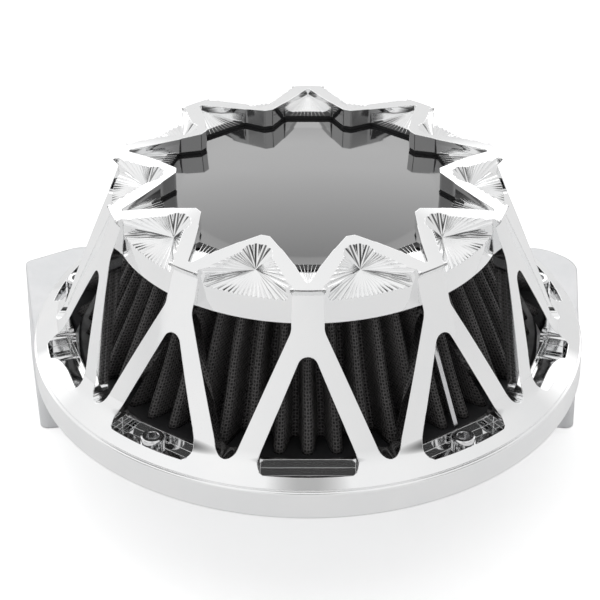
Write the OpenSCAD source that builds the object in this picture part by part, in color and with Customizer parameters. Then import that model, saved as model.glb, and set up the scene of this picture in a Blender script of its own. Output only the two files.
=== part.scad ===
// Round performance air filter for a V-twin motorcycle: a cast backing plate with a throttle snout and two
// breather ears, a tapered pleated element, and a chromed cage cover with a dark lens in its crown.
// Origin: centre of the throttle bore on the rear mounting face. +Z points out through the cover.

/* [Mounting] */
// Height of the cover's lower edge above the rear mounting face
plate_z = 38.5; // [36:0.5:45]
// Radius of the throttle bore
bore_r = 23.5; // [22:0.5:24]
// Bolt circle diameter of the throttle body screws
throttle_pcd = 68; // [67:0.5:69]
// Distance between the two breather bolts
breather_span = 136; // [134:1:138]
// How far the breather bolts lie above the throttle bore
breather_y = 42; // [40:1:44]

/* [Cover] */
// Radius of the cover's lower ring
ring_r = 95.7; // [95:0.1:97]
// Height of the straight band of the lower ring
ring_h = 10.4; // [10:0.1:11]
// Radius where the flange turns into the cone
cone_r = 85.8; // [85:0.1:87]
// Height where the flange turns into the cone
cone_z = 16.2; // [16:0.1:17]
// Radius of the cone's upper end, under the crown
fold_r = 67.1; // [66.8:0.1:67.6]
// Height of the cone's upper end
fold_z = 67.2; // [67:0.1:68]
// Outer radius of the crown's top face
rim_r = 68.8; // [68.4:0.1:69.4]
// Height of the crown's outer edge
rim_z = 70; // [69.6:0.1:70.6]
// Radius of the teeth's tips round the opening
tip_r = 44.5; // [44:0.1:45]
// Height of the teeth's tips
tip_z = 74.4; // [74:0.1:75]
// Wall thickness of the cone, measured along the radius
wall = 5.3; // [4.5:0.1:5.5]
// Number of windows, fans and teeth round the cover
repeats = 10; // [10:1:10]

/* [Filter] */
// Outer radius of the pleats at their lower end
pleat_r = 77.5; // [76:0.5:78]
// Outer radius of the pleats at their upper end
pleat_top_r = 58.4; // [57:0.2:58.6]
// Depth of the pleats at their lower end
pleat_depth = 11; // [9:0.5:12]
// Number of pleats
pleats = 50; // [44:1:70]

/* [Hidden] */
$fn = 96;
step = 360 / repeats;
half = step / 2;

// Backing plate, heights from the cover's lower edge
disc_r = 92;
disc_h = 6;
snout_r = 31;
boss_r = 6.5;
screw_hole_r = 3.3;
counterbore_r = 5.6;
throttle_angles = [60, 180, 300];
breather_hole_r = 6.6;
breather_seat_r = 10.5;
seat_drop = 14;
passage_r = 4;
seal_depth = 1.9;
seal_r = 28.6;
seal_inner_r = 26;
arm_w = 26;
arm_h = 20;
passage_x = 44;
passage_y = 29;
insert_r = 3.6;
stud_r = 2.5;

// Cover
cone_slope = (cone_r - fold_r) / (fold_z - cone_z);
top_slope = (tip_z - rim_z) / (rim_r - tip_r);
clearance = 0.4;
band_r = 66.4;
band_z = 56;
inner_rim_r = 62;
retainer_z = 59.4;
seat_z = 67.9;
seat_r = 53.4;
window_floor = 12;
pocket_floor = 10;
pocket_top = 13.3;
pocket_r = 91;
riser_r = 81.4;
window_tip_z = 53.5;
window_slope = 0.429;
vee_z = 6.75;
waist_z = 60;
screw_r = 86.6;
screw_angles = [36, 108, 180, 252, 324];

// Lens stack
lens_r = 53;
lens_z = 63.7;
lens_t = 3;
dome = 1.2;
gasket_z = lens_z + lens_t;
valley_r = 50.2;
valley_angle = 9.6;
retainer_t = 1.9;
retainer_inner_r = 47.5;
retainer_r = 61;
retainer_screw_r = 57.3;
retainer_angles = [0, 72, 144, 216, 288];

// Filter
media_z = 12;
media_top = 53;
media_h = media_top - media_z;
taper = pleat_top_r / pleat_r;
mesh_t = 0.6;
media_t = 2;
cap_r = 80;
cap_inner_r = 61;
top_cap_inner_r = 45.4;
post_r = 40;
post_angles = [0, 120, 240];
plate_r = 49.9;
plate_t = 1.4;
top_plate_z = 54.6;
clip_angle = 38.5;
clip_w = 1.6;

// --- helpers -------------------------------------------------------------------------------------------

function unit(v) = v / norm(v);
function turn(a) = a > 180 ? a - 360 : a < -180 ? a + 360 : a;
// Points of the arc that rounds corner a, between its neighbours p and q
function corner(p, a, q, r, n) =
    let (u = unit(p - a), v = unit(q - a), h = acos(u * v) / 2, c = a + unit(u + v) * r / sin(h),
         s = a + u * r / tan(h) - c, e = a + v * r / tan(h) - c, a0 = atan2(s.y, s.x),
         da = turn(atan2(e.y, e.x) - a0))
    [for (i = [0:n]) c + r * [cos(a0 + da * i / n), sin(a0 + da * i / n)]];
// Outline with each corner rounded by its own radius
function rounded(points, radii, n = 6) =
    let (m = len(points))
    [for (i = [0:m - 1]) each corner(points[(i + m - 1) % m], points[i], points[(i + 1) % m], radii[i], n)];
function arc(r, a0, a1, n) = [for (i = [0:n]) r * [cos(a0 + (a1 - a0) * i / n), sin(a0 + (a1 - a0) * i / n)]];
// Radius of the cone's outer face at height z
function cone_at(z) = cone_r - (z - cone_z) * cone_slope;
function polar(r, a) = [r * cos(a), r * sin(a)];

// Children repeated at the given azimuths; azimuth 0 faces -Y
module at(angles) {
    for (a = angles)
        rotate([0, 0, a - 90])
            children();
}

// Prism of a side-view outline, cut outward from the axis along X
module side_prism(points, from, to) {
    translate([from, 0, 0])
        rotate([90, 0, 90])
            linear_extrude(to - from)
                polygon(points);
}

// Three-sided pocket: a corner and one far point along each of its three edges
module facet_pocket(c, a, b, up) {
    polyhedron(
        points = [c, c + a, c + b, c + up],
        faces = [[0, 1, 2], [0, 3, 1], [0, 2, 3], [1, 3, 2]]
    );
}

// Socket head cap screw, seated at z = 0, shank pointing down
module cap_screw(head_r, head_h, shank_r, shank_l, key) {
    difference() {
        union() {
            cylinder(r = head_r, h = head_h - 0.4);
            translate([0, 0, head_h - 0.4])
                cylinder(r1 = head_r, r2 = head_r - 0.4, h = 0.4);
            translate([0, 0, -shank_l])
                cylinder(r = shank_r, h = shank_l + 0.1);
        }
        translate([0, 0, head_h * 0.45])
            cylinder(r = key / 2 / cos(30), h = head_h, $fn = 6);
    }
}

// --- backing plate -------------------------------------------------------------------------------------

module ear_outline(side) {
    outline = side < 0
        ? [[-97, 8], [-105.3, 61], [-84, 73.2], [-48, 60], [-52, 14]]
        : [[96.4, 8], [100.2, 61], [86, 72.6], [48, 60], [52, 14]];
    polygon(rounded(outline, side < 0 ? [3, 3.5, 14, 10, 10] : [3, 13, 14, 10, 10]));
}

module arm(side) {
    reach = norm([breather_span / 2, breather_y]);
    rotate([0, 0, side < 0 ? 180 - atan2(breather_y, breather_span / 2) : atan2(breather_y, breather_span / 2)])
        translate([0, -arm_w / 2, 0])
            cube([reach, arm_w, arm_h]);
}

module backing_plate() {
    color([0.80, 0.81, 0.82])
    difference() {
        union() {
            translate([0, 0, plate_z])
                cylinder(r = disc_r, h = disc_h);
            cylinder(r = snout_r, h = plate_z + 1);
            at(throttle_angles)
                translate([throttle_pcd / 2, 0, 0])
                    cylinder(r = boss_r, h = plate_z + 1, $fn = 48);
            for (side = [-1, 1]) {
                linear_extrude(plate_z)
                    ear_outline(side);
                translate([0, 0, plate_z - arm_h])
                    arm(side);
            }
        }
        translate([0, 0, -1])
            cylinder(r = bore_r, h = plate_z + disc_h + 2);
        translate([0, 0, plate_z - disc_h])
            cylinder(r = bore_r + 2, h = 2 * disc_h + 1);
        translate([0, 0, -1])
            difference() {
                cylinder(r = seal_r, h = 1 + seal_depth);
                cylinder(r = seal_inner_r, h = 1 + seal_depth);
            }
        at(throttle_angles)
            translate([throttle_pcd / 2, 0, -1]) {
                cylinder(r = screw_hole_r, h = plate_z + 20, $fn = 48);
                translate([0, 0, plate_z])
                    cylinder(r = counterbore_r, h = disc_h + 2, $fn = 48);
            }
        for (side = [-1, 1])
            translate([side * breather_span / 2, breather_y, 0]) {
                translate([0, 0, -1])
                    cylinder(r = breather_hole_r, h = plate_z + 20, $fn = 64);
                translate([0, 0, plate_z + disc_h - seat_drop])
                    cylinder(r = breather_seat_r, h = 20, $fn = 64);
                translate([0, 0, -1])
                    cylinder(r = breather_seat_r, h = 1 + seal_depth, $fn = 64);
            }
        for (side = [-1, 1])
            translate([side * passage_x, passage_y, plate_z - 4])
                cylinder(r = passage_r, h = disc_h + 6, $fn = 48);
        at(screw_angles)
            translate([screw_r, 0, plate_z + 0.6])
                cylinder(r = insert_r, h = disc_h, $fn = 48);
        at(post_angles)
            translate([post_r, 0, plate_z + 1])
                cylinder(r = stud_r, h = disc_h, $fn = 32);
    }
}

module velocity_stack() {
    color([0.72, 0.73, 0.75])
    translate([0, 0, plate_z])
        rotate_extrude()
            polygon(concat(
                [[bore_r, -disc_h], [bore_r + 2, -disc_h], [bore_r + 2, 12]],
                [for (a = [0:10:90]) [bore_r + 7 - 5 * cos(a), 12 + 5 * sin(a)]],
                [[bore_r + 7, 19]],
                [for (a = [90:-10:0]) [bore_r + 7 - 7 * cos(a), 12 + 7 * sin(a)]]
            ));
}

module throttle_gasket() {
    color([0.08, 0.08, 0.08])
    difference() {
        cylinder(r = seal_r, h = seal_depth);
        translate([0, 0, -1])
            cylinder(r = seal_inner_r, h = seal_depth + 2);
    }
}

module breather_seals() {
    color([0.08, 0.08, 0.08])
    for (side = [-1, 1])
        translate([side * breather_span / 2, breather_y, 0])
            difference() {
                cylinder(r = breather_seat_r, h = seal_depth, $fn = 64);
                translate([0, 0, -1])
                    cylinder(r = breather_hole_r + 0.6, h = seal_depth + 2, $fn = 64);
            }
}

module breather_nozzles() {
    color([0.75, 0.62, 0.33])
    for (side = [-1, 1])
        translate([side * passage_x, passage_y, plate_z - 4])
            difference() {
                union() {
                    cylinder(r = passage_r, h = 19, $fn = 48);
                    translate([0, 0, disc_h + 4])
                        cylinder(r = passage_r + 1.6, h = 2.4, $fn = 6);
                }
                translate([0, 0, -1])
                    cylinder(r = passage_r - 1.2, h = 22, $fn = 48);
            }
}

module thread_inserts() {
    color([0.62, 0.62, 0.64])
    translate([0, 0, plate_z + 0.6])
        at(screw_angles)
            translate([screw_r, 0, 0])
                difference() {
                    cylinder(r = insert_r, h = disc_h - 0.6, $fn = 48);
                    translate([0, 0, -1])
                        cylinder(r = 2.58, h = disc_h + 2, $fn = 48);
                }
}

module filter_posts() {
    color([0.70, 0.70, 0.72])
    translate([0, 0, plate_z])
        at(post_angles)
            translate([post_r, 0, 0])
                difference() {
                    union() {
                        translate([0, 0, 1])
                            cylinder(r = stud_r, h = disc_h, $fn = 32);
                        translate([0, 0, disc_h])
                            cylinder(r = 4.6, h = top_plate_z - disc_h - 0.4, $fn = 6);
                    }
                    translate([0, 0, top_plate_z - 15])
                        cylinder(r = 2.6, h = 20, $fn = 48);
                }
}

// --- filter element ------------------------------------------------------------------------------------

module ring_of(points) {
    translate([0, 0, plate_z])
        rotate_extrude()
            polygon(points);
}

module filter_lower_cap() {
    z = disc_h + 0.3;
    color([0.06, 0.06, 0.06])
    ring_of([[cap_inner_r, z], [cap_r - 0.8, z], [cap_r, z + 0.8], [cap_r, media_z - 0.8], [cap_r - 0.8, media_z],
        [cap_inner_r, media_z]]);
}

// Zigzag ring of pleats between two radii
function pleat_ring(inner, outer) =
    [for (i = [0:pleats * 2 - 1]) polar(i % 2 == 0 ? outer : inner, i * 180 / pleats - 90)];

module pleat_solid(out_in, out_out, in_in, in_out) {
    translate([0, 0, plate_z + media_z])
        linear_extrude(media_h, scale = taper)
            difference() {
                polygon(pleat_ring(out_in, out_out));
                polygon(pleat_ring(in_in, in_out));
            }
}

module pleated_media() {
    color([0.30, 0.08, 0.07])
    pleat_solid(pleat_r - pleat_depth, pleat_r - mesh_t, pleat_r - pleat_depth - media_t,
        pleat_r - mesh_t - media_t);
}

module outer_mesh() {
    color([0.05, 0.05, 0.06])
    pleat_solid(pleat_r - pleat_depth + mesh_t, pleat_r, pleat_r - pleat_depth, pleat_r - mesh_t);
}

module inner_screen() {
    r0 = pleat_r - pleat_depth - media_t;
    r1 = r0 * taper;
    color([0.45, 0.45, 0.47])
    ring_of([[r0, media_z], [r1, media_top], [r1 - 0.8, media_top], [r0 - 0.8, media_z]]);
}

module seam_clip() {
    lean = atan2(pleat_r - pleat_top_r, media_h);
    color([0.78, 0.78, 0.80])
    translate([0, 0, plate_z])
        at([clip_angle])
            translate([pleat_r + 0.3, 0, media_z])
                rotate([0, -lean, 0])
                    translate([0, -clip_w / 2, 0])
                        cube([1, clip_w, media_h / cos(lean) - 0.8]);
}

module filter_upper_cap() {
    r = pleat_top_r + 1.2;
    color([0.06, 0.06, 0.06])
    ring_of([[top_cap_inner_r, media_top], [r, media_top], [r, media_top + 2.2], [r - 0.8, media_top + 3],
        [plate_r, media_top + 3], [plate_r, top_plate_z], [top_cap_inner_r, top_plate_z]]);
}

module filter_top_plate() {
    color([0.35, 0.35, 0.37])
    translate([0, 0, plate_z + top_plate_z])
        difference() {
            cylinder(r = plate_r, h = plate_t);
            at(post_angles)
                translate([post_r, 0, -1])
                    cylinder(r = 2.8, h = 4, $fn = 48);
        }
}

module filter_washers() {
    color([0.70, 0.70, 0.72])
    translate([0, 0, plate_z + top_plate_z + plate_t])
        at(post_angles)
            translate([post_r, 0, 0])
                difference() {
                    cylinder(r = 5, h = 0.8, $fn = 48);
                    translate([0, 0, -1])
                        cylinder(r = 2.8, h = 3, $fn = 48);
                }
}

module filter_screws() {
    color([0.60, 0.60, 0.62])
    translate([0, 0, plate_z + top_plate_z + 2.2])
        at(post_angles)
            translate([post_r, 0, 0])
                cap_screw(4.2, 3, 2.2, 13, 3, $fn = 48);
}

// --- cover ---------------------------------------------------------------------------------------------

// Outline of the opening in the crown; grow widens it all round
function opening(grow) =
    [for (i = [0:repeats - 1]) each [
        polar(tip_r + grow, i * step + half - 1.9), polar(tip_r + grow, i * step + half + 1.9),
        polar(valley_r + grow, (i + 1) * step - valley_angle), polar(valley_r + grow, (i + 1) * step + valley_angle)
    ]];

// Window between two legs; its lower corners run into the flange pocket
module triangle_window() {
    low = window_tip_z - pocket_top;
    side_prism(rounded([[0, window_tip_z], [-window_slope * low, pocket_top],
        [window_slope * low, pocket_top]], [3.4, 0.6, 0.6], 8), 60, 100);
}

// Two-step pocket in the flange under each leg window
module flange_pocket() {
    w = window_slope * (window_tip_z - pocket_top) - 0.2;
    a = asin((w - 2.5) / pocket_r);
    side_r = pocket_r * cos(a) - 2.2;
    translate([0, 0, window_floor])
        linear_extrude(pocket_top + 0.3 - window_floor)
            polygon([[70, -w + 1], [riser_r + 1, -w + 1], [riser_r + 1, w - 1], [70, w - 1]]);
    translate([0, 0, pocket_floor])
        linear_extrude(pocket_top + 0.3 - pocket_floor)
            polygon(concat([[riser_r, -w], [side_r, -w]], arc(pocket_r, -a, a, 12), [[side_r, w], [riser_r, w]]));
}

// Window between two stems; above the band it only clears the band's outside
module vee_window() {
    side = rounded([[0, vee_z], [16.9, waist_z - 4], [16.2, waist_z + 2], [15.4, 73], [-15.4, 73],
        [-16.2, waist_z + 2], [-16.9, waist_z - 4]], [4, 6, 12, 0.5, 0.5, 12, 6], 8);
    difference() {
        side_prism(side, 60, 100);
        translate([0, 0, band_z])
            cylinder(r = band_r, h = 30);
    }
}

module outer_fan() {
    c = [54.5, 0, 67.3];
    facet_pocket(c, 3 * [11.9, -12.9, -2], 3 * [11.9, 12.9, -2], 4 * [-5, 0, 6.2]);
}

module inner_fan() {
    c = [64.8, 0, 68.8];
    facet_pocket(c, 4 * [-14.6, 7.9, -0.8], 4 * [-14.6, -7.9, -0.8], 6 * [0.3, 0, 2.2]);
}

module cover() {
    outline = [
        [disc_r + clearance, 0], [ring_r - 0.6, 0], [ring_r, 0.6], [ring_r - 0.4, ring_h - 0.4],
        [ring_r - 1, ring_h - 0.2], [ring_r - 1, ring_h + 0.2], [ring_r - 0.7, ring_h + 0.4],
        [cone_r, cone_z], [fold_r, fold_z], [rim_r, rim_z - 0.5], [rim_r - 0.3, rim_z],
        [tip_r - 4, tip_z + 4 * top_slope], [tip_r - 4, seat_z], [seat_r, seat_z], [seat_r, retainer_z],
        [inner_rim_r, retainer_z], [inner_rim_r, band_z], [cone_at(band_z) - wall, band_z],
        [cone_at(15) - wall, 15], [cone_at(15) - wall, disc_h + clearance],
        [disc_r + clearance, disc_h + clearance]
    ];
    color([0.86, 0.87, 0.88])
    translate([0, 0, plate_z])
        difference() {
            rotate_extrude($fn = 180)
                polygon(outline);
            translate([0, 0, seat_z - 1])
                rotate([0, 0, -90])
                    linear_extrude(20)
                        polygon(opening(0));
            at([for (i = [0:repeats - 1]) i * step]) {
                triangle_window();
                flange_pocket();
                inner_fan();
            }
            at([for (i = [0:repeats - 1]) i * step + half]) {
                vee_window();
                outer_fan();
            }
            at(screw_angles)
                translate([screw_r, 0, 0])
                    cylinder(r = 2.9, h = 20, $fn = 48);
            at(retainer_angles)
                translate([retainer_screw_r, 0, retainer_z - 1])
                    cylinder(r = 1.5, h = 5.6, $fn = 32);
        }
}

module lens_gasket() {
    color([0.05, 0.05, 0.05])
    translate([0, 0, plate_z + gasket_z])
        difference() {
            cylinder(r = lens_r, h = seat_z - gasket_z);
            translate([0, 0, -1])
                rotate([0, 0, -90])
                    linear_extrude(10)
                        polygon(opening(0.3));
        }
}

module lens() {
    flat_r = tip_r - 0.5;
    ball = (flat_r * flat_r + dome * dome) / (2 * dome);
    a1 = asin(flat_r / ball);
    color([0.07, 0.07, 0.08])
    translate([0, 0, plate_z])
        rotate_extrude()
            polygon(concat(
                [[0, lens_z], [lens_r, lens_z], [lens_r, lens_z + lens_t]],
                [for (i = [12:-1:0]) [ball * sin(a1 * i / 12), gasket_z + dome - ball + ball * cos(a1 * i / 12)]]
            ));
}

module lens_retainer() {
    color([0.25, 0.25, 0.27])
    difference() {
        ring_of([[retainer_inner_r, retainer_z - retainer_t], [retainer_r, retainer_z - retainer_t],
            [retainer_r, retainer_z], [lens_r, retainer_z], [lens_r, lens_z], [retainer_inner_r, lens_z]]);
        translate([0, 0, plate_z])
            at(retainer_angles)
                translate([retainer_screw_r, 0, retainer_z - 3]) {
                    cylinder(r = 1.6, h = 6, $fn = 32);
                    translate([0, 0, 1.1])
                        cylinder(r1 = 3.1, r2 = 1.6, h = 1.5, $fn = 32);
                }
    }
}

module retainer_screws() {
    color([0.60, 0.60, 0.62])
    translate([0, 0, plate_z])
        at(retainer_angles)
            translate([retainer_screw_r, 0, retainer_z - retainer_t])
                difference() {
                    union() {
                        cylinder(r1 = 3, r2 = 1.5, h = 1.5, $fn = 32);
                        cylinder(r = 1.5, h = 6.2, $fn = 32);
                    }
                    translate([0, 0, -1])
                        cylinder(r = 1.15, h = 1.9, $fn = 6);
                }
}

module cover_screws() {
    color([0.80, 0.80, 0.82])
    translate([0, 0, plate_z + pocket_floor])
        at(screw_angles)
            translate([screw_r, 0, 0])
                cap_screw(4, 4.7, 2.5, 9, 4, $fn = 48);
}

backing_plate();
velocity_stack();
throttle_gasket();
breather_seals();
breather_nozzles();
thread_inserts();
filter_posts();
filter_lower_cap();
pleated_media();
outer_mesh();
inner_screen();
seam_clip();
filter_upper_cap();
filter_top_plate();
filter_washers();
filter_screws();
cover();
lens_gasket();
lens();
lens_retainer();
retainer_screws();
cover_screws();
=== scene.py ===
import math

import bmesh
import bpy
import numpy as np
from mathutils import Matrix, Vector


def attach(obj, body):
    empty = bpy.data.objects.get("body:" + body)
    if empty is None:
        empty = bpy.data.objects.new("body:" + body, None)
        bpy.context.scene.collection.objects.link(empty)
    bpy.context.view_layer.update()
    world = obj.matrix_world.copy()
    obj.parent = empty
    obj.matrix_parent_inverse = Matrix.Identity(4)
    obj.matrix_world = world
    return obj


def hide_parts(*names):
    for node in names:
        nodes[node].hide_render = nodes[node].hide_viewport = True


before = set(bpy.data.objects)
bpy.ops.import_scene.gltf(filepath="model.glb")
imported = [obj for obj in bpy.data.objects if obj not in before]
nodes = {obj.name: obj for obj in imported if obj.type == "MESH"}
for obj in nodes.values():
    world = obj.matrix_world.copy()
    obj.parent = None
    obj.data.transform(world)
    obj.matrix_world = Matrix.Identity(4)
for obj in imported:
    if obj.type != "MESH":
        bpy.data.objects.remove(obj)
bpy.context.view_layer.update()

MM = 0.001
PLATE_Z = 38.5  # height of the cover's lower edge, mm
STEP = 36
HALF = 18
CONE_R, CONE_Z, FOLD_R, FOLD_Z = 85.8, 16.2, 67.1, 67.2
RIM_R, RIM_Z, TIP_R, TIP_Z = 68.8, 70.0, 44.5, 74.4
CONE_SLOPE = (CONE_R - FOLD_R) / (FOLD_Z - CONE_Z)
TOP_SLOPE = (TIP_Z - RIM_Z) / (RIM_R - TIP_R)
BAND_R, BAND_Z, INNER_RIM_R = 66.4, 56.0, 62.0
SEAT_Z, SEAT_R, RETAINER_Z = 67.9, 53.4, 59.4
WALL = 5.3
SCREW_R, POCKET_FLOOR = 86.6, 10.0
SCREW_ANGLES = (36, 108, 180, 252, 324)


def cone_at(z):
    """Radius of the cone's outer face at a height."""
    return CONE_R - (z - CONE_Z) * CONE_SLOPE


# --- meshes --------------------------------------------------------------------------------------------

def mesh_object(name, verts, faces, smooth=True):
    """Object from points in millimetres above the cover's lower edge."""
    mesh = bpy.data.meshes.new(name)
    pts = np.asarray(verts, dtype=float) * MM
    pts[:, 2] += PLATE_Z * MM
    mesh.from_pydata([tuple(p) for p in pts], [], [tuple(int(i) for i in f) for f in faces])
    mesh.validate()
    obj = bpy.data.objects.new(name, mesh)
    bpy.context.scene.collection.objects.link(obj)
    bm = bmesh.new()
    bm.from_mesh(mesh)
    bmesh.ops.recalc_face_normals(bm, faces=bm.faces)
    bm.to_mesh(mesh)
    bm.free()
    mesh.polygons.foreach_set("use_smooth", [smooth] * len(mesh.polygons))
    return obj


def lathe_data(profile, count):
    """Closed ring of a closed (r, z) profile."""
    n = len(profile)
    verts, faces = [], []
    for k in range(count):
        a = 2 * math.pi * k / count
        verts += [(r * math.cos(a), r * math.sin(a), z) for r, z in profile]
    for k in range(count):
        k2 = (k + 1) % count
        for i in range(n):
            j = (i + 1) % n
            faces.append((k * n + i, k2 * n + i, k2 * n + j, k * n + j))
    return verts, faces


def spin_data(profile, count):
    """Solid of an open (r, z) profile whose two ends lie on the axis."""
    inner = profile[1:-1]
    n = len(inner)
    verts, faces = [], []
    for k in range(count):
        a = 2 * math.pi * k / count
        verts += [(r * math.cos(a), r * math.sin(a), z) for r, z in inner]
    low, high = len(verts), len(verts) + 1
    verts += [(0, 0, profile[0][1]), (0, 0, profile[-1][1])]
    for k in range(count):
        k2 = (k + 1) % count
        for i in range(n - 1):
            faces.append((k * n + i, k2 * n + i, k2 * n + i + 1, k * n + i + 1))
        faces.append((k * n, low, k2 * n))
        faces.append((k * n + n - 1, k2 * n + n - 1, high))
    return verts, faces


def prism_data(outline, low, high):
    """Prism of an (x, y) outline between two heights."""
    n = len(outline)
    verts = [(x, y, low) for x, y in outline] + [(x, y, high) for x, y in outline]
    faces = [tuple(reversed(range(n))), tuple(range(n, 2 * n))]
    faces += [(i, (i + 1) % n, n + (i + 1) % n, n + i) for i in range(n)]
    return verts, faces


def side_prism_data(outline, low, high):
    """Prism of a (sideways, up) outline, running outward along X from low to high."""
    verts, faces = prism_data(outline, low, high)
    return [(z, x, y) for x, y, z in verts], faces


def moved(data, offset):
    verts, faces = data
    return [(x + offset[0], y + offset[1], z + offset[2]) for x, y, z in verts], faces


def around(data, angles):
    """Copies of a shape at azimuths; 0 faces the front, -Y."""
    verts, faces = data
    out_v, out_f = [], []
    for a in angles:
        t = math.radians(a - 90)
        c, s = math.cos(t), math.sin(t)
        base = len(out_v)
        out_v += [(x * c - y * s, x * s + y * c, z) for x, y, z in verts]
        out_f += [tuple(base + i for i in f) for f in faces]
    return out_v, out_f


def rounded(points, radii, n=8):
    """Outline with each corner rounded by its own radius."""
    out = []
    m = len(points)
    for i in range(m):
        p, a, q = (Vector(points[(i - 1) % m]), Vector(points[i]), Vector(points[(i + 1) % m]))
        u, v = (p - a).normalized(), (q - a).normalized()
        if radii[i] <= 0:
            out.append(tuple(a))
            continue
        h = math.acos(max(-1, min(1, u.dot(v)))) / 2
        c = a + (u + v).normalized() * radii[i] / math.sin(h)
        s, e = a + u * radii[i] / math.tan(h) - c, a + v * radii[i] / math.tan(h) - c
        a0 = math.atan2(s.y, s.x)
        da = math.atan2(e.y, e.x) - a0
        da -= 2 * math.pi * round(da / (2 * math.pi))
        for k in range(n + 1):
            t = a0 + da * k / n
            out.append((c.x + radii[i] * math.cos(t), c.y + radii[i] * math.sin(t)))
    return out


def fan_data(corner, edges, flutes, depth, length, fine=8):
    """Pocket with fluted sides: it spreads from one corner along its edge directions; every side between
    two edges carries its own number of grooves, which grow deeper away from the corner."""
    corner = Vector(corner)
    dirs = [Vector(e).normalized() for e in edges]
    middle = sum(dirs, Vector()).normalized()
    loop = []
    for i, d in enumerate(dirs):
        nxt = dirs[(i + 1) % len(dirs)]
        count = flutes[i]
        span = math.acos(d.dot(nxt))
        normal = d.cross(nxt).normalized()
        if normal.dot(middle) > 0:
            normal = -normal
        steps = max(1, count) * fine
        for k in range(steps):
            t = k / steps
            p = (d * math.sin((1 - t) * span) + nxt * math.sin(t * span)) / math.sin(span)
            groove = math.sin(math.pi * ((t * count) % 1.0)) ** 0.75 if count else 0.0
            loop.append(corner + (p + normal * groove * depth) * length)
    far = corner + middle * length
    verts = [tuple(corner)] + [tuple(p) for p in loop] + [tuple(far)]
    n = len(loop)
    faces = []
    for k in range(n):
        faces.append((0, 1 + k, 1 + (k + 1) % n))
        faces.append((n + 1, 1 + (k + 1) % n, 1 + k))
    return verts, faces


def cut(target, data):
    """Takes a closed shape away from a piece. Copies inside one shape must not overlap one another."""
    tool = mesh_object("cutter", *data)
    mod = target.modifiers.new("cutter", "BOOLEAN")
    mod.operation = "DIFFERENCE"
    mod.solver = "MANIFOLD"
    mod.object = tool
    bake(target)
    bpy.data.objects.remove(tool)


def bake(obj):
    """Applies the modifiers."""
    graph = bpy.context.evaluated_depsgraph_get()
    mesh = bpy.data.meshes.new_from_object(obj.evaluated_get(graph))
    old = obj.data
    obj.modifiers.clear()
    obj.data = mesh
    bpy.data.meshes.remove(old)
    mesh.name = obj.name


def tidy_mesh(obj, limit=1e-6):
    """Merges points that the cuts left on top of one another."""
    bm = bmesh.new()
    bm.from_mesh(obj.data)
    bmesh.ops.remove_doubles(bm, verts=bm.verts, dist=limit)
    bmesh.ops.dissolve_degenerate(bm, dist=limit, edges=bm.edges)
    bm.to_mesh(obj.data)
    bm.free()


def sharpen(obj, degrees=32):
    """Smooth shading that stays crisp across edges steeper than the angle."""
    mesh = obj.data
    mesh.polygons.foreach_set("use_smooth", [True] * len(mesh.polygons))
    bm = bmesh.new()
    bm.from_mesh(mesh)
    limit = math.radians(degrees)
    for e in bm.edges:
        e.smooth = len(e.link_faces) == 2 and e.calc_face_angle(0) < limit
    bm.to_mesh(mesh)
    bm.free()


def lathe_normals(obj, profile, offset_z=PLATE_Z):
    """Exact normals on the turned faces, so that long thin triangles reflect as a true cone."""
    mesh = obj.data
    mesh.update()
    co = np.empty(len(mesh.vertices) * 3)
    mesh.vertices.foreach_get("co", co)
    co = co.reshape(-1, 3) / MM
    co[:, 2] -= offset_z
    r = np.hypot(co[:, 0], co[:, 1])
    fn = np.empty(len(mesh.polygons) * 3)
    mesh.polygons.foreach_get("normal", fn)
    fn = fn.reshape(-1, 3)
    n = len(profile)
    runs = []
    for i in range(n):
        (r0, z0), (r1, z1) = profile[i], profile[(i + 1) % n]
        d = math.hypot(r1 - r0, z1 - z0)
        runs.append((r0, z0, (r1 - r0) / d, (z1 - z0) / d, d))

    def blend(a, b):
        """Direction shared by two runs that meet in a gentle bend; the first run's own otherwise."""
        if a[2] * b[2] + a[3] * b[3] < math.cos(math.radians(14)):
            return a[2], a[3]
        return (a[2] + b[2]) / 2, (a[3] + b[3]) / 2

    segments = [run + (blend(run, runs[i - 1]), blend(run, runs[(i + 1) % n])) for i, run in enumerate(runs)]
    normals = np.zeros((len(mesh.loops), 3))
    for poly in mesh.polygons:
        ids = list(poly.vertices)
        c = co[ids].mean(axis=0)
        rad = np.array([c[0], c[1]]) / max(1e-9, math.hypot(c[0], c[1]))
        f = fn[poly.index]
        fr = f[0] * rad[0] + f[1] * rad[1]
        if math.hypot(fr, f[2]) < 0.985:
            continue
        for r0, z0, ur, uz, d, start, end in segments:
            if abs(fr * ur + f[2] * uz) > 0.05:
                continue
            away = np.abs((r[ids] - r0) * uz - (co[ids, 2] - z0) * ur)
            along = (r[ids] - r0) * ur + (co[ids, 2] - z0) * uz
            if away.max() < 0.02 and along.min() > -0.02 and along.max() < d + 0.02:
                sign = -1 if uz * fr - ur * f[2] < 0 else 1
                for li, vi, t in zip(poly.loop_indices, ids, np.clip(along / d, 0, 1)):
                    x, y = co[vi, 0] / r[vi], co[vi, 1] / r[vi]
                    nr = sign * (start[1] * (1 - t) + end[1] * t)
                    nz = -sign * (start[0] * (1 - t) + end[0] * t)
                    size = math.hypot(nr, nz)
                    normals[li] = (nr * x / size, nr * y / size, nz / size)
                break
    mesh.normals_split_custom_set([tuple(v) for v in normals])


# --- materials -----------------------------------------------------------------------------------------

def link(tree, a, b):
    tree.links.new(a, b)


def noise(tree, coords, scale, detail=3.0, rough=0.5):
    node = tree.nodes.new("ShaderNodeTexNoise")
    node.inputs["Scale"].default_value = scale
    node.inputs["Detail"].default_value = detail
    node.inputs["Roughness"].default_value = rough
    link(tree, coords, node.inputs["Vector"])
    return node.outputs["Fac"]


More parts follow.
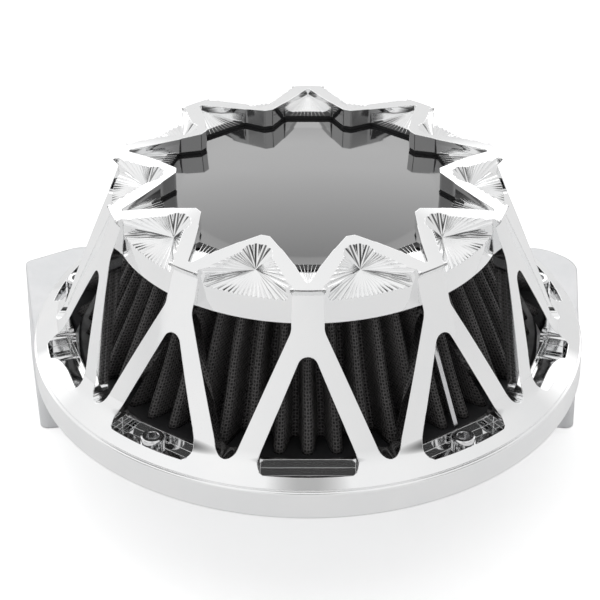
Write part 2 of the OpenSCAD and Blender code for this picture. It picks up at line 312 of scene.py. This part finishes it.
def spread(tree, value, low, high, start=0.3, end=0.7):
    node = tree.nodes.new("ShaderNodeMapRange")
    node.inputs["From Min"].default_value = start
    node.inputs["From Max"].default_value = end
    node.inputs["To Min"].default_value = low
    node.inputs["To Max"].default_value = high
    link(tree, value, node.inputs["Value"])
    return node.outputs["Result"]


def two_tone(tree, fac, a, b):
    node = tree.nodes.new("ShaderNodeMix")
    node.data_type = "RGBA"
    node.inputs["A"].default_value = (*a, 1)
    node.inputs["B"].default_value = (*b, 1)
    link(tree, fac, node.inputs["Factor"])
    return node.outputs["Result"]


def stretch(tree, coords, factors):
    node = tree.nodes.new("ShaderNodeMapping")
    node.inputs["Scale"].default_value = factors
    link(tree, coords, node.inputs["Vector"])
    return node.outputs["Vector"]


def surface(name, tone_a, tone_b, metallic, rough, grain=900, bump=0.15, bump_mm=0.02, edge_mm=0.0,
            grain_stretch=(1, 1, 1), coat=0.0, wear=0.0):
    """Material with mottled colour, uneven gloss, a fine grain and softened edges."""
    mat = bpy.data.materials.new(name)
    mat.use_nodes = True
    tree = mat.node_tree
    shader = tree.nodes["Principled BSDF"]
    coords = tree.nodes.new("ShaderNodeTexCoord").outputs["Object"]
    grained = stretch(tree, coords, grain_stretch)
    patches = noise(tree, coords, 60, 4)
    fine = noise(tree, grained, grain, 2)
    colour = two_tone(tree, spread(tree, patches, 0, 1), tone_a, tone_b)
    if wear:
        geometry = tree.nodes.new("ShaderNodeNewGeometry")
        worn = spread(tree, geometry.outputs["Pointiness"], 0, wear, 0.50, 0.56)
        lift = tree.nodes.new("ShaderNodeMix")
        lift.data_type = "RGBA"
        lift.inputs["B"].default_value = (min(1, tone_b[0] * 2 + 0.1),) * 3 + (1,)
        link(tree, worn, lift.inputs["Factor"])
        link(tree, colour, lift.inputs["A"])
        colour = lift.outputs["Result"]
    link(tree, colour, shader.inputs["Base Color"])
    link(tree, spread(tree, noise(tree, grained, grain * 0.3, 3), *rough), shader.inputs["Roughness"])
    shader.inputs["Metallic"].default_value = metallic
    shader.inputs["Coat Weight"].default_value = coat
    shader.inputs["Coat Roughness"].default_value = 0.05
    bumps = tree.nodes.new("ShaderNodeBump")
    bumps.inputs["Strength"].default_value = bump
    bumps.inputs["Distance"].default_value = bump_mm * MM
    link(tree, fine, bumps.inputs["Height"])
    if edge_mm:
        bevel = tree.nodes.new("ShaderNodeBevel")
        bevel.samples = 6
        bevel.inputs["Radius"].default_value = edge_mm * MM
        link(tree, bevel.outputs["Normal"], bumps.inputs["Normal"])
    link(tree, bumps.outputs["Normal"], shader.inputs["Normal"])
    return mat


chrome = surface("polished_chrome", (0.90, 0.905, 0.91), (0.93, 0.93, 0.93), 1.0, (0.035, 0.075),
                 grain=500, bump=0.05, bump_mm=0.004, edge_mm=0.35)
screw_chrome = surface("screw_chrome", (0.74, 0.74, 0.75), (0.82, 0.82, 0.82), 1.0, (0.10, 0.20),
                       grain=1500, bump=0.12, bump_mm=0.01, edge_mm=0.2)
cast = surface("cast_alloy_satin", (0.72, 0.73, 0.74), (0.80, 0.80, 0.81), 0.35, (0.38, 0.52),
               grain=1400, bump=0.35, bump_mm=0.05, edge_mm=1.2)
machined = surface("machined_alloy", (0.70, 0.71, 0.73), (0.78, 0.78, 0.79), 1.0, (0.2, 0.34),
                   grain=1500, bump=0.2, bump_mm=0.01, edge_mm=0.3, grain_stretch=(1, 1, 14))
steel = surface("bright_steel", (0.60, 0.60, 0.62), (0.72, 0.72, 0.73), 1.0, (0.16, 0.28),
                grain=1600, bump=0.15, bump_mm=0.01, edge_mm=0.15)
dull_steel = surface("screen_steel", (0.34, 0.34, 0.36), (0.45, 0.45, 0.46), 1.0, (0.35, 0.5),
                     grain=1800, bump=0.3, bump_mm=0.03, edge_mm=0.2)
brass = surface("machined_brass", (0.70, 0.52, 0.22), (0.78, 0.60, 0.30), 1.0, (0.2, 0.32),
                grain=1500, bump=0.15, bump_mm=0.01, edge_mm=0.2)
rubber = surface("black_rubber", (0.010, 0.010, 0.011), (0.020, 0.020, 0.021), 0.0, (0.5, 0.68),
                 grain=2200, bump=0.25, bump_mm=0.03, edge_mm=0.25)
moulded = surface("moulded_urethane", (0.012, 0.012, 0.013), (0.022, 0.022, 0.024), 0.0, (0.42, 0.60),
                  grain=1600, bump=0.3, bump_mm=0.05, edge_mm=0.4)
black_steel = surface("black_steel", (0.020, 0.020, 0.021), (0.035, 0.035, 0.036), 0.3, (0.35, 0.5),
                      grain=1800, bump=0.2, bump_mm=0.02, edge_mm=0.25, wear=0.4)
gauze = surface("oiled_gauze", (0.16, 0.035, 0.035), (0.26, 0.07, 0.06), 0.0, (0.5, 0.75),
                grain=2600, bump=0.6, bump_mm=0.2)
smoked = surface("smoked_gloss", (0.012, 0.012, 0.013), (0.018, 0.018, 0.019), 0.0, (0.04, 0.09),
                 grain=300, bump=0.02, bump_mm=0.01)
smoked.node_tree.nodes["Principled BSDF"].inputs["IOR"].default_value = 2.2


def woven(name):
    """Black coated wire mesh: two crossing sets of wires laid along the pleats' own coordinates, with a painted
    highlight on the raised wires and painted shade in the gaps between them.
    """
    mat = bpy.data.materials.new(name)
    mat.use_nodes = True
    tree = mat.node_tree
    shader = tree.nodes["Principled BSDF"]
    uv = tree.nodes.new("ShaderNodeUVMap")
    uv.uv_map = "mesh_uv"
    split = tree.nodes.new("ShaderNodeSeparateXYZ")
    link(tree, uv.outputs["UV"], split.inputs["Vector"])

    def math_node(op, a, b=None, clamp=False):
        node = tree.nodes.new("ShaderNodeMath")
        node.operation = op
        node.use_clamp = clamp
        for socket, value in zip(node.inputs, (a, b)):
            if value is None:
                continue
            if isinstance(value, (int, float)):
                socket.default_value = value
            else:
                link(tree, value, socket)
        return node.outputs[0]

    pitch = 1.15  # millimetres between wires
    along = math_node("MULTIPLY", split.outputs["X"], math.pi / pitch)
    up = math_node("MULTIPLY", split.outputs["Y"], math.pi / pitch)
    wire_a = math_node("POWER", math_node("ABSOLUTE", math_node("SINE", along)), 1.6)
    wire_b = math_node("POWER", math_node("ABSOLUTE", math_node("SINE", up)), 1.6)
    weave = math_node("MULTIPLY", math_node("COSINE", along), math_node("COSINE", up))
    raised = math_node("MAXIMUM", wire_a, wire_b)
    height = math_node("ADD", raised, math_node("MULTIPLY", weave, 0.25))
    patches = noise(tree, tree.nodes.new("ShaderNodeTexCoord").outputs["Object"], 90, 3)
    # Painted highlight and shade: the colour grows lighter on the raised wires and darker in the gaps between
    # them; the noise patches only vary the tone at random.
    painted_wire_sheen = math_node("MULTIPLY", spread(tree, height, 0, 1, 0.45, 1.1), spread(tree, patches, 0.7, 1.0))
    link(tree, two_tone(tree, painted_wire_sheen, (0.006, 0.005, 0.005), (0.105, 0.100, 0.100)), shader.inputs["Base Color"])
    link(tree, spread(tree, height, 0.75, 0.36, 0.4, 1.1), shader.inputs["Roughness"])
    bumps = tree.nodes.new("ShaderNodeBump")
    bumps.inputs["Strength"].default_value = 0.9
    bumps.inputs["Distance"].default_value = 0.35 * MM
    link(tree, height, bumps.inputs["Height"])
    link(tree, bumps.outputs["Normal"], shader.inputs["Normal"])
    return mat


mesh_black = woven("black_woven_mesh")


def dress(obj, mat):
    obj.data.materials.clear()
    obj.data.materials.append(mat)


def piece(obj, mat, body, slot, *replaced):
    dress(obj, mat)
    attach(obj, body)
    if replaced:
        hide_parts(*replaced)


for node, mat in {
    "backing_plate": cast, "velocity_stack": machined, "throttle_gasket": rubber, "breather_seals": rubber,
    "breather_nozzles": brass, "thread_inserts": steel, "filter_posts": steel, "filter_lower_cap": moulded,
    "pleated_media": gauze, "outer_mesh": mesh_black, "inner_screen": dull_steel, "seam_clip": steel,
    "filter_upper_cap": moulded, "filter_top_plate": dull_steel, "filter_washers": steel,
    "filter_screws": steel, "cover": chrome, "lens_gasket": rubber, "lens": smoked,
    "lens_retainer": black_steel, "retainer_screws": steel, "cover_screws": screw_chrome,
}.items():
    for slot in nodes[node].material_slots:
        slot.material = mat

# --- cover ---------------------------------------------------------------------------------------------

RING_R, RING_H, DISC_R, DISC_H = 95.7, 10.4, 92.0, 6.0
# Soft fold between the flange and the cone: a curve that leaves each of them FOLD_REACH from the corner
FOLD_REACH = 4.2
flange_end = Vector((RING_R - 0.75, RING_H + 0.42))
fold_corner = Vector((CONE_R, CONE_Z))
fold_in = fold_corner - (fold_corner - flange_end).normalized() * FOLD_REACH
fold_out = Vector((cone_at(CONE_Z + FOLD_REACH), CONE_Z + FOLD_REACH))
fold = [tuple(fold_in * (1 - t) ** 2 + fold_corner * 2 * t * (1 - t) + fold_out * t * t)
        for t in [k / 12 for k in range(13)]]
cover_profile = [
    (DISC_R + 0.4, 0), (RING_R - 0.6, 0), (RING_R - 0.18, 0.18), (RING_R, 0.6), (RING_R, RING_H - 0.9),
    (RING_R - 0.12, RING_H - 0.55), (RING_R - 0.4, RING_H - 0.4),
    (RING_R - 1, RING_H - 0.2), (RING_R - 1, RING_H + 0.2), tuple(flange_end),
] + fold + [
    (FOLD_R, FOLD_Z), (RIM_R, RIM_Z - 0.5),
    (RIM_R - 0.3, RIM_Z), (TIP_R - 4, TIP_Z + 4 * TOP_SLOPE), (TIP_R - 4, SEAT_Z), (SEAT_R, SEAT_Z),
    (SEAT_R, RETAINER_Z), (INNER_RIM_R, RETAINER_Z), (INNER_RIM_R, BAND_Z), (cone_at(BAND_Z) - WALL, BAND_Z),
    (cone_at(15) - WALL, 15), (cone_at(15) - WALL, DISC_H + 0.4), (DISC_R + 0.4, DISC_H + 0.4),
]
cover = mesh_object("cage_cover", *lathe_data(cover_profile, 360))


def polar(r, a):
    """Point at a radius and an angle in degrees."""
    return (r * math.cos(math.radians(a)), r * math.sin(math.radians(a)))


# Opening of the crown: ten narrow tooth tips and ten valleys between them
REPEATS = 10
TIP_HALF_ANGLE, VALLEY_R, VALLEY_HALF_ANGLE = 1.9, 50.2, 9.6
star = []
for i in range(REPEATS):
    tooth, valley = i * STEP + HALF - 90, (i + 1) * STEP - 90
    star += [polar(TIP_R, tooth - TIP_HALF_ANGLE), polar(TIP_R, tooth + TIP_HALF_ANGLE),
             polar(VALLEY_R, valley - VALLEY_HALF_ANGLE), polar(VALLEY_R, valley + VALLEY_HALF_ANGLE)]
star = rounded(star, [0.7, 0.7, 2.0, 2.0] * REPEATS, 6)
leg_angles = [i * STEP for i in range(REPEATS)]
stem_angles = [i * STEP + HALF for i in range(REPEATS)]

# Window through each leg, and the flange pocket in front of it
POCKET_TOP, POCKET_R, RISER_R = 13.3, 91.0, 81.4
TIP_WINDOW, SLOPE_WINDOW = 53.5, 0.429
low = TIP_WINDOW - POCKET_TOP
leg_window = rounded([(0, TIP_WINDOW), (-SLOPE_WINDOW * low, POCKET_TOP), (SLOPE_WINDOW * low, POCKET_TOP)],
                     [3.4, 1.8, 1.8], 10)
half_w = SLOPE_WINDOW * low - 0.2
a_lim = math.degrees(math.asin((half_w - 2.5) / POCKET_R))
side_r = POCKET_R * math.cos(math.radians(a_lim)) - 2.2
front_edge = [polar(POCKET_R, -a_lim + 2 * a_lim * k / 16) for k in range(17)]
pocket = [(RISER_R, -half_w), (side_r, -half_w)] + front_edge + [(side_r, half_w), (RISER_R, half_w)]
# Window through each stem; it stays outside the band under the crown
VEE_Z, WAIST_Z, VEE_TOP = 6.75, 60.0, 73.0
vee = rounded([(0, VEE_Z), (16.9, WAIST_Z - 4), (16.2, WAIST_Z + 2), (15.4, VEE_TOP), (-15.4, VEE_TOP),
               (-16.2, WAIST_Z + 2), (-16.9, WAIST_Z - 4)], [4, 6, 12, 0.5, 0.5, 12, 6], 10)
vee_tool = mesh_object("vee_tool", *side_prism_data(vee, 60, 100))
cut(vee_tool, spin_data([(0, BAND_Z), (BAND_R, BAND_Z), (BAND_R, 90), (0, 90)], 720))


def object_data(obj):
    """An object's points and faces, in the form that the helpers take."""
    verts = [(v.co.x / MM, v.co.y / MM, v.co.z / MM - PLATE_Z) for v in obj.data.vertices]
    return verts, [tuple(p.vertices) for p in obj.data.polygons]


vee_data = object_data(vee_tool)
bpy.data.objects.remove(vee_tool)

cut(cover, prism_data(star, SEAT_Z - 1, 90))
cut(cover, around(side_prism_data(leg_window, 60, 100), leg_angles))
cut(cover, around(prism_data(pocket, POCKET_FLOOR, POCKET_TOP + 0.3), leg_angles))
cut(cover, around(vee_data, stem_angles))


def mirrored(v):
    return (v[0], -v[1], v[2])


def arc_edges(half_x, half_y, z, shift, angles):
    """Edge directions of a rounded nose."""
    return [(half_x * math.cos(math.radians(t)) + shift, half_y * math.sin(math.radians(t)), z) for t in angles]


# Outer fan: its corner, then the directions of its floor corners, of the rim's corners above them and of
# the rounded nose at its inner end
floor_corner, rim_corner = (11.6, 16.2, -2.0), (12.4, 15.6, 2.7)
nose = arc_edges(-4.2, 5.0, 5.5, -0.6, range(90, -91, -30))
outer_fan = fan_data([54.5, 0, 67.3], [mirrored(floor_corner), floor_corner, rim_corner] + nose
                     + [mirrored(rim_corner)],
                     [15, 0, 8] + [1] * (len(nose) - 1) + [8, 0], depth=0.055, length=25)
cut(cover, around(outer_fan, stem_angles))

# Inner fan, in the valley between two teeth: a fluted floor between plain sides
valley_floor, valley_side = (-14.6, 7.6, -0.8), (-13, 7.2, 5.5)
valley_nose = arc_edges(0.5, 0.8, 2.2, 0.1, (-90, -45, 0, 45, 90))
valley_edges = [valley_floor, mirrored(valley_floor), mirrored(valley_side)] + valley_nose + [valley_side]
inner_fan = fan_data([64.5, 0, 68.8], valley_edges, [10] + [0] * (len(valley_edges) - 1), depth=0.06, length=24)
cut(cover, around(inner_fan, leg_angles))

HOLE_R = 2.9
hole = prism_data([polar(HOLE_R, 7.5 * k) for k in range(48)], -2, 20)
cut(cover, around(moved(hole, (SCREW_R, 0, 0)), SCREW_ANGLES))
tidy_mesh(cover)
sharpen(cover, 30)
lathe_normals(cover, cover_profile)
piece(cover, chrome, "cover", "chrome", "cover")

# --- lens ----------------------------------------------------------------------------------------------

LENS_R, LENS_Z, LENS_T, DOME = 53.0, 63.7, 3.0, 1.2
flat_r = TIP_R - 0.5
ball = (flat_r ** 2 + DOME ** 2) / (2 * DOME)
edge_a = math.asin(flat_r / ball)
lens_profile = [(0, LENS_Z), (LENS_R - 0.3, LENS_Z), (LENS_R, LENS_Z + 0.3), (LENS_R, LENS_Z + LENS_T - 0.3),
                (LENS_R - 0.3, LENS_Z + LENS_T)]
for i in range(40, -1, -1):
    a = edge_a * i / 40
    lens_profile.append((ball * math.sin(a), LENS_Z + LENS_T + DOME - ball + ball * math.cos(a)))
lens = mesh_object("smoked_lens_disc", *spin_data(lens_profile, 256))
sharpen(lens, 35)
piece(lens, smoked, "cover", "smoked_lens", "lens")

# --- pleats --------------------------------------------------------------------------------------------

PLEATS, PLEAT_R, PLEAT_TOP_R, PLEAT_DEPTH = 50, 77.5, 58.4, 11.0
MEDIA_Z, MEDIA_TOP = 12.0, 53.0


def pleat_radius(phase, r_out, depth):
    """Pleat with a broad rounded crest, steep flanks and a narrow valley."""
    c = math.cos(phase)
    shape = 0.5 + 0.5 * math.tanh(2.4 * (c + 0.12)) / math.tanh(2.4 * 1.12)
    crown = 0.10 * (1 - c) * shape
    return r_out - depth * (1 - shape + crown)


def build_pleats(name, outer, thick, per=24, rows=28):
    cols = PLEATS * per
    verts, faces = [], []
    for layer in (outer, outer + thick):
        for j in range(rows + 1):
            t = j / rows
            scale = 1 + (PLEAT_TOP_R / PLEAT_R - 1) * t
            z = MEDIA_Z + (MEDIA_TOP - MEDIA_Z) * t
            for i in range(cols):
                phase = 2 * math.pi * i / per
                a = 2 * math.pi * i / cols - math.pi / 2
                wander = 0.25 * math.sin(3.1 * a + 5 * t) * math.sin(math.pi * t)
                a += math.radians(wander)
                r = pleat_radius(phase, PLEAT_R - 0.15, PLEAT_DEPTH - 0.6) * scale - layer
                verts.append((r * math.cos(a), r * math.sin(a), z))
    base = (rows + 1) * cols
    for j in range(rows):
        for i in range(cols):
            k = (i + 1) % cols
            faces.append((j * cols + i, j * cols + k, (j + 1) * cols + k, (j + 1) * cols + i))
            faces.append((base + j * cols + i, base + (j + 1) * cols + i,
                          base + (j + 1) * cols + k, base + j * cols + k))
    for i in range(cols):
        k = (i + 1) % cols
        faces.append((i, base + i, base + k, k))
        top = rows * cols
        faces.append((top + i, top + k, base + top + k, base + top + i))
    obj = mesh_object(name, verts, faces)
    arc = [0.0]
    for i in range(1, cols + 1):
        p0 = pleat_radius(2 * math.pi * (i - 1) / per, PLEAT_R, PLEAT_DEPTH)
        p1 = pleat_radius(2 * math.pi * i / per, PLEAT_R, PLEAT_DEPTH)
        side = PLEAT_R * 2 * math.pi / cols
        arc.append(arc[-1] + math.hypot(p1 - p0, side))
    slant = math.hypot(MEDIA_TOP - MEDIA_Z, PLEAT_R - PLEAT_TOP_R)
    layer_uv = obj.data.uv_layers.new(name="mesh_uv")
    for poly in obj.data.polygons:
        cs = [v % cols for v in poly.vertices]
        wrap = max(cs) - min(cs) > cols // 2
        for li, v in zip(poly.loop_indices, poly.vertices):
            c = v % cols
            row = (v % base) // cols
            u = arc[c + cols] if wrap and c < cols // 2 and c + cols < len(arc) else arc[c]
            if wrap and c == 0:
                u = arc[cols]
            layer_uv.data[li].uv = (u, slant * row / rows)
    return obj


pleats = build_pleats("pleated_wire_mesh", 0.0, 0.5)
piece(pleats, mesh_black, "filter", "black_mesh", "outer_mesh")
media = build_pleats("pleated_gauze", 0.7, 1.6, 12, 12)
piece(media, gauze, "filter", "filter_cotton", "pleated_media")

# --- cover screws --------------------------------------------------------------------------------------

HEAD_R, HEAD_H = 4.0, 4.7
screw_profile = [(0, -9), (2.1, -9), (2.5, -8.6), (2.5, 0), (HEAD_R - 0.25, 0), (HEAD_R, 0.25),
                 (HEAD_R, HEAD_H - 0.7), (HEAD_R - 0.15, HEAD_H - 0.3), (HEAD_R - 0.6, HEAD_H), (0, HEAD_H)]
screw = mesh_object("screw_tool", *spin_data(screw_profile, 72))
key_r = 2.0 / math.cos(math.radians(30))
cut(screw, prism_data([polar(key_r, 60 * k + 12) for k in range(6)], HEAD_H * 0.42, HEAD_H + 3))
cut(screw, spin_data([(0, HEAD_H - 0.45), (key_r - 0.4, HEAD_H - 0.35), (key_r + 0.25, HEAD_H + 0.3),
                      (0, HEAD_H + 0.3)], 48))
screw_data = object_data(screw)
bpy.data.objects.remove(screw)
screws = mesh_object("cover_cap_screws", *around(moved(screw_data, (SCREW_R, 0, POCKET_FLOOR)), SCREW_ANGLES))
sharpen(screws, 32)
piece(screws, screw_chrome, "cover_screws", "chrome_screw", "cover_screws")

# --- stage, light and camera ---------------------------------------------------------------------------

def stage_material(name, colour, glow):
    mat = bpy.data.materials.new(name)
    mat.use_nodes = True
    shader = mat.node_tree.nodes["Principled BSDF"]
    shader.inputs["Base Color"].default_value = (*colour, 1)
    shader.inputs["Roughness"].default_value = 0.9
    shader.inputs["Specular IOR Level"].default_value = 0.0
    shader.inputs["Emission Color"].default_value = (1, 1, 1, 1)
    shader.inputs["Emission Strength"].default_value = glow
    return mat


def stage_plane(name, centre, u, v, mat):
    centre, u, v = Vector(centre), Vector(u), Vector(v)
    mesh = bpy.data.meshes.new(name)
    mesh.from_pydata([centre - u - v, centre + u - v, centre + u + v, centre - u + v], [], [(0, 1, 2, 3)])
    obj = bpy.data.objects.new(name, mesh)
    bpy.context.scene.collection.objects.link(obj)
    mesh.materials.append(mat)


FLOOR_GLOW = 0.5
floor_mat = stage_material("floor_white", (0.9, 0.9, 0.9), FLOOR_GLOW)
floor_tree = floor_mat.node_tree
seen_direct = floor_tree.nodes.new("ShaderNodeLightPath").outputs["Is Camera Ray"]
link(floor_tree, spread(floor_tree, seen_direct, 0.02, FLOOR_GLOW, 0, 1),
     floor_tree.nodes["Principled BSDF"].inputs["Emission Strength"])
stage_plane("floor", (0, 0, -0.0002), (4, 0, 0), (0, 4, 0), floor_mat)


# Direction of each dark patch in the room, its solid and outer radius in degrees, and the light left in it
DARK_PATCHES = [
    (0.0, -0.62, 0.78, 9, 19, 0.05),
    (0.80, -0.30, 0.55, 10, 24, 0.06),
    (-0.80, -0.30, 0.55, 10, 24, 0.06),
    (0.0, -0.15, 0.99, 2, 9, 0.5),
    (0.0, -0.84, 0.54, 7, 12, 0.12),
]


def studio_world():
    """Even pale room, a little brighter overhead and low behind the object; white where it is seen."""
    world = bpy.data.worlds.new("studio")
    bpy.context.scene.world = world
    world.use_nodes = True
    tree = world.node_tree
    split = tree.nodes.new("ShaderNodeSeparateXYZ")
    world_dir = tree.nodes.new("ShaderNodeTexCoord").outputs["Generated"]
    link(tree, world_dir, split.inputs["Vector"])

    def calc(op, a, b):
        node = tree.nodes.new("ShaderNodeMath")
        node.operation = op
        for socket, value in zip(node.inputs, (a, b)):
            if isinstance(value, (int, float)):
                socket.default_value = value
            else:
                link(tree, value, socket)
        return node.outputs[0]

    side = spread(tree, split.outputs["X"], 0.90, 0.78, -0.7, 0.6)
    overhead = spread(tree, split.outputs["Z"], 0.0, 0.12, 0.4, 0.95)
    low = spread(tree, split.outputs["Z"], 1.0, 0.0, 0.47, 0.66)
    above = spread(tree, split.outputs["Z"], 0.0, 1.0, 0.30, 0.42)
    behind = spread(tree, split.outputs["Y"], 0.0, 1.3, 0.45, 0.8)
    strip = calc("MULTIPLY", calc("MULTIPLY", low, above), behind)
    room = calc("ADD", calc("ADD", side, overhead), strip)
    for x, y, z, start, end, left in DARK_PATCHES:
        dot = tree.nodes.new("ShaderNodeVectorMath")
        dot.operation = "DOT_PRODUCT"
        dot.inputs[1].default_value = Vector((x, y, z)).normalized()
        link(tree, world_dir, dot.inputs[0])
        room = calc("MULTIPLY", room, spread(tree, dot.outputs["Value"], 1.0, left, math.cos(math.radians(end)),
                                             math.cos(math.radians(start))))
    seen = tree.nodes.new("ShaderNodeLightPath").outputs["Is Camera Ray"]
    strength = calc("MAXIMUM", room, calc("MULTIPLY", seen, 1.05))
    link(tree, strength, tree.nodes["Background"].inputs["Strength"])
    tree.nodes["Background"].inputs["Color"].default_value = (1, 1, 1, 1)


studio_world()


def lamp(name, place, target, width, height, power):
    data = bpy.data.lights.new(name, "AREA")
    data.shape = "RECTANGLE"
    data.size, data.size_y, data.energy = width, height, power
    obj = bpy.data.objects.new(name, data)
    bpy.context.scene.collection.objects.link(obj)
    obj.location = place
    obj.rotation_euler = (Vector(target) - Vector(place)).to_track_quat("-Z", "Y").to_euler()
    obj.visible_glossy = False


lamp("top_softbox", (-0.3, 0.2, 1.3), (0, 0, 0), 0.5, 0.5, 1.0)
lamp("front_softbox", (-0.7, -1.0, 0.8), (0, 0, 0.05), 0.3, 0.3, 0.6)

camera_data = bpy.data.cameras.new("camera")
camera_data.lens = 156.26
camera_data.sensor_width = 36
camera_data.shift_x = -0.0133
camera_data.clip_end = 20
camera = bpy.data.objects.new("camera", camera_data)
bpy.context.scene.collection.objects.link(camera)
elevation, reach = math.radians(32.76), 0.9064
target = Vector((0, 0, 0.0608))
camera.location = target + Vector((0, -math.cos(elevation), math.sin(elevation))) * reach
camera.rotation_euler = (target - camera.location).to_track_quat("-Z", "Y").to_euler()
bpy.context.scene.camera = camera
bpy.context.scene.view_settings.view_transform = "Standard"
